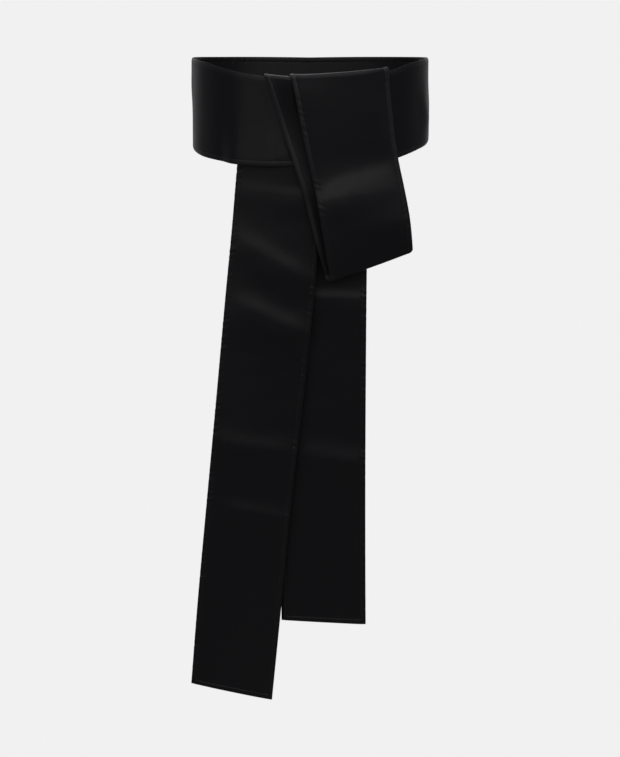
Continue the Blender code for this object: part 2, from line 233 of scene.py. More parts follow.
# %% Smooth curves, easing and creases
def column(table, name, key, at):
    """A table's column as a smooth curve, read at every place in an array."""
    places = np.array(table[key], float)
    values = np.array(table[name], float)
    if places[0] > places[-1]:
        places, values = places[::-1], values[::-1]
    at = np.clip(at, places[0], places[-1])
    row = np.clip(np.searchsorted(places, at, side="right") - 1, 0, len(places) - 2)
    low = np.maximum(np.arange(len(places)) - 1, 0)
    high = np.minimum(np.arange(len(places)) + 1, len(places) - 1)
    slopes = (values[high] - values[low]) / (places[high] - places[low])
    span = places[row + 1] - places[row]
    share = (at - places[row]) / span
    start, end = slopes[row] * span, slopes[row + 1] * span
    rise = values[row + 1] - values[row]
    return (values[row] + share * start + share ** 2 * (3 * rise - 2 * start - end)
            + share ** 3 * (start + end - 2 * rise))


def ease(share):
    """From 0 to 1, level at both ends."""
    share = np.clip(share, 0.0, 1.0)
    return share * share * (3.0 - 2.0 * share)


def mix(start, end, share):
    return start + (end - start) * share


CREASE_FADE = 0.25           # of a crease's length: it fades this far before and after its ends


def crease_rise(owner, x, height):
    """How far the creases of one stretch stand out at these points, in millimetres."""
    table = CREASES[owner]
    total = np.zeros_like(x)
    names = ("from_x", "from_z", "to_x", "to_z", "rise", "above", "below")
    for from_x, from_z, to_x, to_z, rise, above, below in zip(*(table[name] for name in names)):
        run_x, run_z = to_x - from_x, to_z - from_z
        length = math.hypot(run_x, run_z)
        share = ((x - from_x) * run_x + (height - from_z) * run_z) / length ** 2
        aside = ((height - from_z) * run_x - (x - from_x) * run_z) / length
        start = ease((share + CREASE_FADE) / (2 * CREASE_FADE))
        end = ease((1.0 + CREASE_FADE - share) / (2 * CREASE_FADE))
        total += rise * np.exp(-(aside / np.where(aside > 0, above, below)) ** 2) * (start * end)
    return total


# %% [markdown]
# ## Layers on the waist
# Up to seven layers of cloth lie over one another at the front. Each has a number, from the wearer
# outwards, and lies on an ellipse a little larger than the one inside it, as wound cloth does.

# %% Where each layer lies on the waist
KNOT_OFFSET = 8.0            # from the waist to the knot's middle layers


def layer_offset(layer):
    return WALL / 2 + LAYER * layer


def waist_depth(x, layer):
    """How far in front of the waist's middle a layer lies at this x."""
    offset = layer_offset(layer)
    share = np.minimum(np.abs(x) / (WAIST_HALF_WIDTH + offset), 0.999)
    return (WAIST_HALF_DEPTH + offset) * np.sqrt(1.0 - share * share)


def band_edge_height(x, edge):
    """Height of the band's top or bottom edge in front, at this x."""
    turn = np.degrees(np.arcsin(np.clip(x / (WAIST_HALF_WIDTH + KNOT_OFFSET), -1.0, 1.0)))
    return column(BAND_EDGES, edge, "turn", turn)


def hanging_depth(table, key, at, across):
    """How far in front the cloth hangs where it is free of the waist; its middle bellies out."""
    left = column(table, "left_depth", key, at)
    right = column(table, "right_depth", key, at)
    belly = column(table, "belly", key, at) * 4.0 * across * (1.0 - across)
    return mix(left, right, across) + belly


# %% The band and the tails as surfaces
CREASES_FROM_TURN = -300.0   # the hidden inner end has no creases
CREASES_EASE = 20.0


def band_surface(across, along):
    """x, y and height of the band; along runs from its outer end once round to its inner end."""
    turn = mix(BAND_OUTER_TURN, BAND_INNER_TURN, along)
    offset = layer_offset(column(BAND_LAYERS, "layer", "turn", turn))
    around = (turn + 180.0) % 360.0 - 180.0
    height = mix(column(BAND_EDGES, "top", "turn", around),
                 column(BAND_EDGES, "bottom", "turn", around), across)
    angle = np.radians(turn)
    x = (WAIST_HALF_WIDTH + offset) * np.sin(angle)
    depth = (WAIST_HALF_DEPTH + offset) * np.cos(angle)
    girth = math.radians(1.0) * (WAIST_HALF_WIDTH + WAIST_HALF_DEPTH) / 2
    showing = ease((turn - CREASES_FROM_TURN) / CREASES_EASE)
    grow = 1.0 + crease_rise("waist_band", turn * girth, height) * showing / WAIST_HALF_DEPTH
    return x * grow, -depth * grow, height


def tail_surface(owner, table, layer, across, along):
    """x, y and height of a tail: on its layer of the waist at the top, then free."""
    height = mix(table["height"][0], table["height"][-1], along)
    x = mix(column(table, "left_x", "height", height), column(table, "right_x", "height", height),
            across)
    free = hanging_depth(table, "height", height, across) + crease_rise(owner, x, height)
    depth = mix(waist_depth(x, layer), free, column(table, "hang", "height", height))
    return x, -depth, height - column(table, "right_drop", "height", height) * across


def front_tail_surface(across, along):
    return tail_surface("front_tail", FRONT_TAIL, TAIL_TUCK, across, along)


def back_tail_surface(across, along):
    return tail_surface("back_tail", BACK_TAIL, INNER_RETURN, across, along)


# %% [markdown]
# ## The four runs of the loop
# Two runs of the loop lie hidden inside the band, and two hang in front of it. All four meet the
# band's top edge, which is curved, so each run's own straight top is bent to that edge and then
# let go.

# %% The loop's four runs
TOP_SHARE = 0.4              # the upper share of a run that follows the band's edge


def near_top(along):
    """1 at the band's edge, and 0 from TOP_SHARE on."""
    return 1.0 - ease(along / TOP_SHARE)


def edge_to_edge(table, along, across):
    """x and height between the two edges, level with the band's edge at the top."""
    x = mix(column(table, "left_x", "along", along), column(table, "right_x", "along", along),
            across)
    height = mix(column(table, "left_z", "along", along), column(table, "right_z", "along", along),
                 across)
    top = mix(table["left_z"][0], table["right_z"][0], across)
    return x, height + (band_edge_height(x, "top") - top) * near_top(along)


def loop_back_run(across, along):
    x, height = edge_to_edge(LOOP_BACK_HALF, along, across)
    free = hanging_depth(LOOP_BACK_HALF, "along", along, across)
    depth = mix(waist_depth(x, LOOP_BACK), free, column(LOOP_BACK_HALF, "hang", "along", along))
    depth = depth + crease_rise("loop_back", x, height)
    lift = column(LOOP_LIFT, "lift", "along", along)
    depth = depth + lift * (1.0 - ease(across / column(LOOP_LIFT, "share", "along", along)))
    return x, -depth, height


def loop_front_run(across, along):
    x, height = edge_to_edge(LOOP_FRONT_HALF, along, across)
    height = height + FRONT_ABOVE_EDGE * near_top(along)
    start = column(LOOP_FRONT_HALF, "ease_from", "along", along)
    edge_layer = column(LOOP_FRONT_HALF, "edge_layer", "along", along)
    layer = mix(LOOP_FRONT, edge_layer, ease((across - start) / (1.0 - start)))
    free = hanging_depth(LOOP_FRONT_HALF, "along", along, across)
    free += crease_rise("loop_front", x, height)
    depth = mix(waist_depth(x, layer), free, column(LOOP_FRONT_HALF, "hang", "along", along))
    stand_off = column(LOOP_STAND_OFF, "left", "along", along)
    return x, -depth - stand_off * (1.0 - ease(across / STAND_OFF_SHARE)), height


def riser_run(across, along):
    x, height = edge_to_edge(RISER_RUN, along, across)
    return x, -waist_depth(x, RISER), height


def return_run(across, along):
    x, height = edge_to_edge(RETURN_RUN, along, across)
    height = height + FRONT_ABOVE_EDGE * near_top(along)
    return x, -waist_depth(x, INNER_RETURN), height


def turned_over(start, end, rise, share):
    """The half ellipse that leads one run over into the next."""
    angle = np.pi * share
    point = [(a + b) / 2 - (b - a) / 2 * np.cos(angle) for a, b in zip(start, end)]
    point[2] = point[2] + rise * np.sin(angle)
    return tuple(point)


# %% [markdown]
# ## The loop as one surface
# The sash runs through the loop without a seam: up inside the band, over its edge, down and up in
# front, over the edge again and down inside. Each run gets a stretch of "along", and the short
# folds between them are half ellipses, so that the cloth turns over softly instead of in a sharp
# line.

# %% The loop from end to end
LOOP_RUNS = (
    ("riser", 78.0),
    ("back_over_edge", 12.0),
    ("back_half", 198.0),
    ("lower_fold", 12.0),
    ("front_half", 200.0),
    ("front_over_edge", 18.0),
    ("return", 80.0),
)


def loop_part(name, across, share):
    """One run of the loop; share goes from 0 to 1 in the direction of the sash."""
    zero = np.zeros_like(across)
    one = np.ones_like(across)
    if name == "riser":
        return riser_run(across, 1.0 - share)
    if name == "back_over_edge":
        return turned_over(riser_run(across, zero), loop_back_run(across, zero), BACK_OVER_EDGE,
                           share)
    if name == "back_half":
        return loop_back_run(across, share)
    if name == "lower_fold":
        return turned_over(loop_back_run(across, one), loop_front_run(across, one), -LOWER_FOLD,
                           share)
    if name == "front_half":
        return loop_front_run(across, 1.0 - share)
    if name == "front_over_edge":
        start = LOOP_FRONT_HALF["ease_from"][0]
        to_right = ease((across - start) / (1.0 - start))
        rise = mix(FRONT_OVER_EDGE, FRONT_OVER_EDGE_AT_RIGHT, to_right)
        return turned_over(loop_front_run(across, zero), return_run(across, zero), rise, share)
    return return_run(across, share)


def loop_surface(across, along):
    """x, y and height of the whole loop, from the riser's foot to the return's."""
    lengths = [length for name, length in LOOP_RUNS]
    ends = np.cumsum([0.0] + lengths) / sum(lengths)
    x, y, z = (np.zeros_like(across) for axis in range(3))
    for index, (name, length) in enumerate(LOOP_RUNS):
        last = index == len(LOOP_RUNS) - 1
        here = (along >= ends[index]) & ((along < ends[index + 1]) | last)
        if here.any():
            share = (along[here] - ends[index]) / (ends[index + 1] - ends[index])
            x[here], y[here], z[here] = loop_part(name, across[here], np.clip(share, 0.0, 1.0))
    return x, y, z


# %% [markdown]
# ## The sewn edge
# The sash is two layers, sewn together inside out and turned. The seam allowance fills the first
# few millimetres, so the edge is a soft roll, held by a line of stitches that makes a shallow
# groove. The thread draws the edge in, so it puckers in short irregular waves that catch the
# light. The columns of the mesh lie close together there, and wide apart on the flat face.

# %% Columns and thickness across the sash
EDGE_ROUND = 3.0             # how far in the edge is rounded
STITCH_LINE = 5.2
EDGE_THICKNESS = 1.9         # over the seam allowance
FACE_THICKNESS = 1.4
ALLOWANCE_FADE = 4.0         # over this distance, from EDGE_ROUND on
GROOVE_DEPTH = 0.7
GROOVE_WIDTH = 0.6
FACE_STEP = 3.6
EDGE_STEPS = (0.0, 0.06, 0.22, 0.5, 0.95, 1.6, 2.5, 3.5, 4.3, 4.8, 5.2, 5.6, 6.1, 6.8, 7.9, 9.4)


def thickness_at(distance):
    """Thickness of the sash at a distance from its nearest edge, in millimetres."""
    rounded = np.sqrt(np.clip(1.0 - (1.0 - np.clip(distance / EDGE_ROUND, 0, 1)) ** 2, 0, 1))
    body = mix(EDGE_THICKNESS, FACE_THICKNESS, ease((distance - EDGE_ROUND) / ALLOWANCE_FADE))
    groove = GROOVE_DEPTH * np.exp(-((distance - STITCH_LINE) / GROOVE_WIDTH) ** 2)
    return rounded * (body - groove)


def column_places(width):
    """Distances from the left edge for every column, for each row's width."""
    edge = np.array(EDGE_STEPS)
    count = int(round((SASH_WIDTH - 2 * edge[-1]) / FACE_STEP))
    middle = np.linspace(0.0, 1.0, count + 1)[1:-1]
    width = width[:, None]
    return np.concatenate([
        np.repeat(edge[None, :], len(width), 0),
        edge[-1] + middle[None, :] * (width - 2 * edge[-1]),
        width - edge[::-1][None, :],
    ], axis=1)


ROW_STEP = 1.05
TURN_STEP = 0.08             # radians that a fold turns from one row to the next


def row_places(run, line):
    """Distances down the sash for every row: close together at both ends and where a fold turns."""
    edge = np.array(EDGE_STEPS)
    length = run[-1]
    heading = np.diff(line, axis=0) / np.diff(run)[:, None]
    bend = np.linalg.norm(np.diff(heading, axis=0), axis=1)
    rows = np.concatenate([[0.0], np.cumsum(np.diff(run)[1:] / ROW_STEP + bend / TURN_STEP)])
    first, last = np.interp([edge[-1], length - edge[-1]], run[1:-1], rows[:len(run) - 2])
    middle = np.linspace(first, last, int(round(last - first)) + 1)[1:-1]
    middle = np.interp(middle, rows[:len(run) - 2], run[1:-1])
    return np.concatenate([edge, middle, length - edge[::-1]])


# %% [markdown]
# ## Puckers and waves
# Sums of a few sine waves whose lengths don't divide each other never repeat in view, and come out
# the same on every run. The puckers die away a few millimetres inside the stitch line; the broad
# waves are what keeps a flat stretch of satin from looking like sheet metal.

# %% Puckers along an edge and broad waves on the face
PUCKER_WAVES = ((5.3, 0.45), (6.9, 0.5), (9.4, 0.45), (15.1, 0.4))    # length and height
PUCKER_GROUP = 83.0          # from one strong group of puckers to the next
BROAD_WAVES = 9
BROAD_LENGTHS = (26.0, 72.0)
BROAD_SWAY = 0.6             # radians aside from straight down or across


def pucker(distance_along, seed):
    """An irregular wave along an edge, between about -1 and 1, with a period near 7 mm."""
    total = np.zeros_like(distance_along)
    for index, (length, share) in enumerate(PUCKER_WAVES):
        total += share * np.sin(2 * np.pi * distance_along / length + seed * (1.7 + index))
    strength = 0.6 + 0.4 * np.sin(2 * np.pi * distance_along / PUCKER_GROUP + seed)
    return total * strength


def broad_waves(across_mm, along_mm, seed):
    """Gentle undulation of the whole face, between about -1 and 1."""
    chance = np.random.RandomState(seed)
    total = np.zeros_like(along_mm)
    for index in range(BROAD_WAVES):
        length = chance.uniform(*BROAD_LENGTHS)
        heading = chance.uniform(-BROAD_SWAY, BROAD_SWAY) + (np.pi / 2 if index % 3 else 0.0)
        phase = chance.uniform(0.0, 2 * np.pi)
        run = across_mm * math.cos(heading) + along_mm * math.sin(heading)
        total += np.sin(2 * np.pi * run / length + phase)
    return total / math.sqrt(BROAD_WAVES)


# %% [markdown]
# ## A stretch of sash
# Rows follow the length of the middle line, and lie closer together at both ends and round a fold.
# The surface's own normal says which way is out, so half of the thickness goes to each side, and
# both faces share the points of their edge: the result is one closed tube, as the real one is. The
# distances along and across become its UV map, in metres, so the weave keeps one size on every
# stretch.

# %% Middle surface of a stretch, with its normals
TRIAL_ROWS = 2400            # for measuring the length, before the real rows are placed
SLANT = 0.5                  # puckers run a little aslant from the edge
PUCKERS_FADE = 6.0           # over this distance, from EDGE_ROUND on
WAVES_FADE = 12.0            # the broad waves are at full height this far in
OTHER_EDGE = 3.1             # added to the seed, so that the two edges differ
EDGE_CURL = 0.7              # the edge bends this far towards the wearer, outside its stitches


def middle_of(surface, seed, edge_wave, face_wave):
    """Rows of points on the middle of a stretch, their normals, and where they lie on the cloth."""
    trial = np.linspace(0.0, 1.0, TRIAL_ROWS)
    line = np.stack(surface(np.full_like(trial, 0.5), trial), -1)
    run = np.concatenate([[0.0], np.cumsum(np.linalg.norm(np.diff(line, axis=0), axis=1))])
    down_mm = row_places(run, line)
    along = np.interp(down_mm, run, trial)
    left = np.stack(surface(np.zeros_like(along), along), -1)
    right = np.stack(surface(np.ones_like(along), along), -1)
    chord = np.stack(surface(np.full_like(along, 0.5), along), -1)
    width = np.linalg.norm(chord - left, axis=1) + np.linalg.norm(right - chord, axis=1)
    places = column_places(width)
    across = places / width[:, None]
    along_mm = np.repeat(down_mm[:, None], places.shape[1], 1)
    points = np.stack(surface(across, np.repeat(along[:, None], places.shape[1], 1)), -1)
    down = np.gradient(points, axis=0)
    over = np.gradient(points, axis=1)
    normals = np.cross(over, down)
    normals /= np.linalg.norm(normals, axis=2, keepdims=True)
    from_edge = np.minimum(places, width[:, None] - places)
    at_left = places < width[:, None] / 2
    slanted = along_mm + SLANT * from_edge
    wave = np.where(at_left, pucker(slanted, seed), pucker(slanted, seed + OTHER_EDGE))
    lift = edge_wave * wave * (1.0 - ease((from_edge - EDGE_ROUND) / PUCKERS_FADE))
    lift += face_wave * broad_waves(places, along_mm, seed) * ease(from_edge / WAVES_FADE)
    inward = -points * (1.0, 1.0, 0.0)
    inward /= np.linalg.norm(inward, axis=2, keepdims=True)
    to_wearer = np.clip((normals * inward).sum(axis=2) * 2.0, -1.0, 1.0)
    lift += EDGE_CURL * np.clip(1.0 - from_edge / STITCH_LINE, 0.0, 1.0) * to_wearer
    points = points + normals * lift[..., None]
    return {"points": points, "normals": normals, "places": places, "along": along_mm,
            "from_edge": from_edge, "wave": wave}


def flat_size(middle):
    """Width and length of a stretch laid flat, in metres, to the nearest millimetre."""
    width, length = middle["places"].max(axis=1).mean(), middle["along"].max()
    return round(float(width) * MM, 3), round(float(length) * MM, 3)


# %% A mesh from arrays
def add_mesh(name, points, faces, uvs, finish):
    """A mesh object from points in millimetres, faces, a UV pair for each point and, for each face,
    the number of its finish."""
    mesh = bpy.data.meshes.new(name)
    mesh.from_pydata((points * MM).tolist(), [], faces.tolist())
    layer = mesh.uv_layers.new(name="cloth")
    corners = np.zeros(len(mesh.loops), int)
    mesh.loops.foreach_get("vertex_index", corners)
    layer.data.foreach_set("uv", (uvs[corners] * MM).ravel())
    mesh.polygons.foreach_set("material_index", finish.astype(int))
    mesh.shade_smooth()
    piece = bpy.data.objects.new(name, mesh)
    bpy.context.scene.collection.objects.link(piece)
    return piece


def grid_faces(index, turned):
    """Quads between neighbouring points of a grid of point numbers."""
    quads = np.stack([index[:-1, :-1], index[:-1, 1:], index[1:, 1:], index[1:, :-1]], -1)
    quads = quads.reshape(-1, 4)
    return quads[:, ::-1] if turned else quads


# %% [markdown]
# ## A shinier hem, partly painted sheen
# The hem outside the stitches is puckered more finely than a mesh can show, and each pucker
# catches some light. So its faces get a finish of their own: the same satin with more shine, partly
# for those puckers and partly as painted sheen. Down the loop that shine grows and fades in small
# steps as a painted sheen, strong where light catches the hem and weak where the hem lies in shade,
# each step a material slot of the piece, so that no step shows.

# %% Shine of the hems, partly painted sheen, at distances down each stretch
FACE_SHINE = 0.3
SHINE_STEP = 0.03
# The hems' extra shine is partly real, for the puckers, and partly painted sheen: on the loop its
# rise and fall paints where light catches the hem and where the hem lies in shade.
HEM_SHINE_AND_PAINTED_SHEEN = {
    "waist_band": {"along": (0.0,), "shine": (0.42,)},
    "loop": {"along": (0.0, 80.0, 104.0, 205.0, 215.0, 240.0, 265.0, 386.0, 412.0, 506.0, 580.0),
             "shine": (0.3, 0.3, 0.63, 0.48, 0.6, 0.6, 0.33, 0.33, 0.54, 0.57, 0.42)},
    "front_tail": {"along": (0.0,), "shine": (0.33,)},
    "back_tail": {"along": (0.0,), "shine": (0.33,)},
}


def finishes(name, middle):
    """The number of each face's finish, and each finish's step of shine, which on the hem is partly
    painted sheen: 0 away from the hem.
    """
    from_edge = middle["from_edge"]
    on_hem = (from_edge[:-1, :-1] + from_edge[:-1, 1:]) / 2 < STITCH_LINE
    shine = np.interp(middle["along"][:-1, 1:], HEM_SHINE_AND_PAINTED_SHEEN[name]["along"], HEM_SHINE_AND_PAINTED_SHEEN[name]["shine"])
    # Each step of shine above the face's is partly painted sheen on the hem.
    step = np.where(on_hem, np.round((shine - FACE_SHINE) / SHINE_STEP), 0).astype(int)
    steps, finish = np.unique(step.ravel(), return_inverse=True)
    return np.tile(finish, 2), steps


# %% The closed tube of one stretch
HEM_SWELL = 0.08             # the cloth is thicker on a pucker's crest, and thinner in its trough
HEM_REACH = 9.0


def sash_shell(name, middle):
    """Two faces that share the points of their edges, and the steps of shine on them, partly
    painted sheen on the hems.
    """
    points, places, along_mm = middle["points"], middle["places"], middle["along"]
    distance = np.minimum(middle["from_edge"], np.minimum(along_mm, along_mm.max() - along_mm))
    thickness = thickness_at(distance) * (1.0 + HEM_SWELL * middle["wave"] * (distance < HEM_REACH))
    half = middle["normals"] * (thickness / 2)[..., None]
    rows, columns = places.shape
    outer = np.arange(rows * columns).reshape(rows, columns)
    inner = outer.copy()
    inner[1:-1, 1:-1] = rows * columns + np.arange((rows - 2) * (columns - 2)).reshape(rows - 2, -1)
    both = np.concatenate([(points + half).reshape(-1, 3),
                           (points - half)[1:-1, 1:-1].reshape(-1, 3)])
    flat = np.stack([places, along_mm], -1)
    uvs = np.concatenate([flat.reshape(-1, 2), flat[1:-1, 1:-1].reshape(-1, 2)])
    faces = np.concatenate([grid_faces(outer, True), grid_faces(inner, False)])
    finish, steps = finishes(name, middle)
    return add_mesh("sash_" + name, both, faces, uvs, finish), steps


# %% Make the four stretches
STRETCHES = {
    "waist_band": {"surface": band_surface, "seed": 3, "edge_wave": 0.1, "face_wave": 0.06},
    "loop": {"surface": loop_surface, "seed": 5, "edge_wave": 0.07, "face_wave": 0.05},
    "front_tail": {"surface": front_tail_surface, "seed": 8, "edge_wave": 0.3, "face_wave": 0.12},
    "back_tail": {"surface": back_tail_surface, "seed": 12, "edge_wave": 0.28, "face_wave": 0.12},
}
middles = {}
sash = {}
shine_and_painted_sheen_steps = {}
for name, how in STRETCHES.items():
    middles[name] = middle_of(how["surface"], how["seed"], how["edge_wave"], how["face_wave"])
    sash[name], shine_and_painted_sheen_steps[name] = sash_shell(name, middles[name])
    faces = len(sash[name].data.polygons)
    print(name, "is", flat_size(middles[name]), "m flat, with", faces, "faces")

# %% [markdown]
# ## The stitching
# A line of small lockstitches, about eight to the inch, holds each edge 5 mm in. On the real sash
# it is one thread that dives through both layers. Only the short lengths on top show, so each is a
# closed six-sided thread with pointed ends that sink into the groove, slightly aslant and uneven
# in length.

# %% The shape of one stitch
STITCH_LENGTH = 2.4
THREAD_RADIUS = 0.2
THREAD_SIDES = 6
THREAD_RINGS = ((-0.36, 0.8, -0.02), (0.0, 1.0, 0.06), (0.36, 0.8, -0.02))   # along, radius, height
TIP_HEIGHT = -0.12           # both tips sink into the cloth


def thread_shape():
    """Points of one stitch as (along, sideways, up) in millimetres, and its triangles."""
    points = [(-0.5 * STITCH_LENGTH, 0.0, TIP_HEIGHT)]
    for along, radius, height in THREAD_RINGS:
        for side in range(THREAD_SIDES):
            angle = 2 * math.pi * side / THREAD_SIDES
            points.append((along * STITCH_LENGTH, THREAD_RADIUS * radius * math.cos(angle),
                           height + THREAD_RADIUS * radius * math.sin(angle)))
    points.append((0.5 * STITCH_LENGTH, 0.0, TIP_HEIGHT))
    last = len(points) - 1
    triangles = []
    for side in range(THREAD_SIDES):
        after = (side + 1) % THREAD_SIDES
        triangles.append((0, 1 + after, 1 + side))
        triangles.append((last, last - THREAD_SIDES + side, last - THREAD_SIDES + after))
        for ring in range(len(THREAD_RINGS) - 1):
            low, high = 1 + ring * THREAD_SIDES, 1 + (ring + 1) * THREAD_SIDES
            triangles.append((low + side, low + after, high + after))
            triangles.append((low + side, high + after, high + side))
    return np.array(points), np.array(triangles)


# %% Stitches down both edges, on both faces
STITCH_PITCH = 3.0
SIGHT = 0.6                  # a stitch heads from this far behind its centre to this far ahead
ASLANT = (0.07, 0.05)        # mean and spread, in radians
LENGTH_SPREAD = 0.05
LENGTH_LIMITS = (0.88, 1.1)
SEWN_END = ("front_tail", "back_tail")


def down_line(values, run, places):
    """Rows of three values, read at places down a line."""
    return np.stack([np.interp(places, run, values[:, axis]) for axis in range(3)], -1)


def stitch_line(points, normals, run, half):
    """Centre, direction and outward normal of every stitch down one line of points."""
    centres = np.arange(EDGE_ROUND + STITCH_PITCH, run[-1] - EDGE_ROUND - STITCH_LENGTH,
                        STITCH_PITCH)
    ahead = down_line(points, run, centres + SIGHT)
    behind = down_line(points, run, centres - SIGHT)
    out = down_line(normals, run, centres)
    out /= np.linalg.norm(out, axis=1, keepdims=True)
    forward = ahead - behind
    forward -= out * (forward * out).sum(axis=1, keepdims=True)
    forward /= np.linalg.norm(forward, axis=1, keepdims=True)
    return (ahead + behind) / 2 + out * half, forward, out


def stitching(name, middle, seed):
    """All the stitches of one stretch as one mesh."""
    points, normals = middle["points"], middle["normals"]
    half = float(thickness_at(np.array(STITCH_LINE))) / 2
    first = EDGE_STEPS.index(STITCH_LINE)
    last = -1 - first
    seams = [(points[:, at], normals[:, at], middle["along"][:, at]) for at in (first, last)]
    if name in SEWN_END:
        seams.append((points[last], normals[last], middle["places"][last]))
    lines = []
    for line, facing, run in seams:
        lines.append(stitch_line(line, facing, run, half))
        lines.append(stitch_line(line, -facing, run, half))
    centres, forward, out = (np.concatenate([line[part] for line in lines]) for part in range(3))
    chance = np.random.RandomState(seed)
    aslant = chance.normal(*ASLANT, len(centres))[:, None]
    length = chance.normal(1.0, LENGTH_SPREAD, len(centres)).clip(*LENGTH_LIMITS)[:, None, None]
    side = np.cross(forward, out)
    forward, side = forward + side * aslant, side - forward * aslant
    shape, triangles = thread_shape()
    placed = (centres[:, None] + forward[:, None] * shape[None, :, 0:1] * length
              + side[:, None] * shape[None, :, 1:2] + out[:, None] * shape[None, :, 2:3])
    numbers = np.arange(len(centres))[:, None, None] * len(shape) + triangles[None]
    uvs = np.tile(np.stack([shape[:, 1], shape[:, 0]], -1), (len(centres), 1))
    faces = numbers.reshape(-1, 3)
    print(f"{name}: {len(centres)} stitches")
    return add_mesh("stitches_" + name, placed.reshape(-1, 3), faces, uvs, np.zeros(len(faces)))


stitches = {name: stitching(name, middles[name], how["seed"]) for name, how in STRETCHES.items()}

# %% [markdown]
# ## Satin
# Black silk satin: long floats of untwisted yarn on one face. The fibre is a smooth dielectric
# with an index near 1.5, but the floats scatter light along the sash more than across it, so the
# sheen is soft and broad, and never a mirror. Dyed black, it gives back well under one part in a
# hundred of the light apart from that sheen.

# %% Colour and node helpers
def linear(hex_colour):
    """An sRGB hex colour as the linear values that a shader takes."""
    parts = [int(hex_colour[i:i + 2], 16) / 255 for i in (1, 3, 5)]
    values = [p / 12.92 if p <= 0.04045 else ((p + 0.055) / 1.055) ** 2.4 for p in parts]
    return tuple(values) + (1.0,)


def node(tree, kind, links=(), **settings):
    """Adds a node, sets its properties and sockets, and links (socket, source output) pairs."""
    added = tree.nodes.new("ShaderNode" + kind)
    for key, value in settings.items():
        if hasattr(added, key):
            setattr(added, key, value)
        else:
            added.inputs[key.replace("_", " ")].default_value = value
    for socket, source in links:
        tree.links.new(source, added.inputs[socket])
    return added


def bare_material(name):
    """A new material and its node tree, empty."""
    material = bpy.data.materials.new(name)
    material.use_nodes = True
    material.node_tree.nodes.clear()
    return material, material.node_tree


# %% Black silk satin
SATIN_BLACK = "#0e0e11"
SATIN_ROUGHNESS = (0.46, 0.54)
SILK_INDEX = 1.5
YARN_PITCH_MM = 0.5          # real floats are about 0.1 mm apart; drawn coarser so that they show
FLOAT_LENGTH = 9             # times the pitch
SLUBS_PER_METRE = 90.0


def black_silk_satin(name, shine):
    """Satin of one shine; on the hems the higher shines are partly painted sheen. Its roughness
    varies a little with the slubs in its yarn.
    """
    material, tree = bare_material(name)
    place = node(tree, "UVMap", uv_map="cloth")
    scaled = node(tree, "Mapping", [("Vector", place.outputs["UV"])])
    scaled.inputs["Scale"].default_value = (1.0 / (YARN_PITCH_MM * MM),
                                            1.0 / (YARN_PITCH_MM * FLOAT_LENGTH * MM), 1.0)
    floats = node(tree, "TexNoise", [("Vector", scaled.outputs["Vector"])], Scale=1.0, Detail=1.0)
    slubs = node(tree, "TexNoise", [("Vector", place.outputs["UV"])], Scale=SLUBS_PER_METRE,
                 Detail=3.0)
    rough = node(tree, "MapRange", [("Value", slubs.outputs["Fac"])],
                 To_Min=SATIN_ROUGHNESS[0], To_Max=SATIN_ROUGHNESS[1])
    bump = node(tree, "Bump", [("Height", floats.outputs["Fac"])], Strength=0.12, Distance=0.0001)
    across = node(tree, "Tangent", direction_type="UV_MAP", uv_map="cloth")
    shader = node(tree, "BsdfPrincipled", [("Roughness", rough.outputs["Result"]),
                                           ("Normal", bump.outputs["Normal"]),
                                           ("Tangent", across.outputs["Tangent"])])
    shader.inputs["Base Color"].default_value = linear(SATIN_BLACK)
    shader.inputs["IOR"].default_value = SILK_INDEX
    # On the hems this specular level is partly painted sheen.
    shader.inputs["Specular IOR Level"].default_value = shine
    shader.inputs["Anisotropic"].default_value = 0.6
    node(tree, "OutputMaterial", [("Surface", shader.outputs["BSDF"])])
    return material


# %% [markdown]
# ## Thread
# Silk thread is spun, so it is duller than the satin and has no grain across it. It sinks into the
# groove and shows as a row of small lighter ticks. Its plies are a wave turned aslant, as bump
# alone: at this size no outline could show them.

# %% Black silk thread
THREAD_BLACK = "#121214"
THREAD_ROUGHNESS = 0.55
PLY_SLANT = math.radians(55.0)


def black_silk_thread():
    """Sewing thread: plies twisted together, a little lighter than the satin it sinks into."""
    material, tree = bare_material("black_silk_thread")
    place = node(tree, "UVMap", uv_map="cloth")
    turned = node(tree, "Mapping", [("Vector", place.outputs["UV"])])
    turned.inputs["Rotation"].default_value = (0.0, 0.0, PLY_SLANT)
    plies = node(tree, "TexWave", [("Vector", turned.outputs["Vector"])],
                 Scale=1.0 / (4 * THREAD_RADIUS * MM))
    bump = node(tree, "Bump", [("Height", plies.outputs["Fac"])], Strength=0.4, Distance=0.00005)
    shader = node(tree, "BsdfPrincipled", [("Normal", bump.outputs["Normal"])])
    shader.inputs["Base Color"].default_value = linear(THREAD_BLACK)
    shader.inputs["Roughness"].default_value = THREAD_ROUGHNESS
    shader.inputs["IOR"].default_value = SILK_INDEX
    node(tree, "OutputMaterial", [("Surface", shader.outputs["BSDF"])])
    return material


# %% Put the finishes on, the hems' painted sheen among them
satins = {}
for name, piece in sash.items():
    for step in shine_and_painted_sheen_steps[name]:
        if step not in satins:
            shine = FACE_SHINE + step * SHINE_STEP
            # A step above the face's shine is a copy of the satin with painted sheen for the hem.
            satins[step] = black_silk_satin(f"black_silk_satin_painted_sheen_{step}", shine)
        piece.data.materials.append(satins[step])
thread = black_silk_thread()
for piece in stitches.values():
    piece.data.materials.append(thread)
print("satin in", len(satins), "steps of shine on", len(sash), "stretches")

# %% [markdown]
# ## Put each piece on the frame
# The cloth has no joints, so every piece rides on the one body, "root", and its stitches with it.
# Each stretch takes the place of the frame's node of its name, which is hidden. Its flat size is
# the width and the length of that stretch of the finished tube; the tube is two such layers.

for name, piece in sash.items():
    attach(piece, "root")
    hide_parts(name)
    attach(stitches[name], "root")

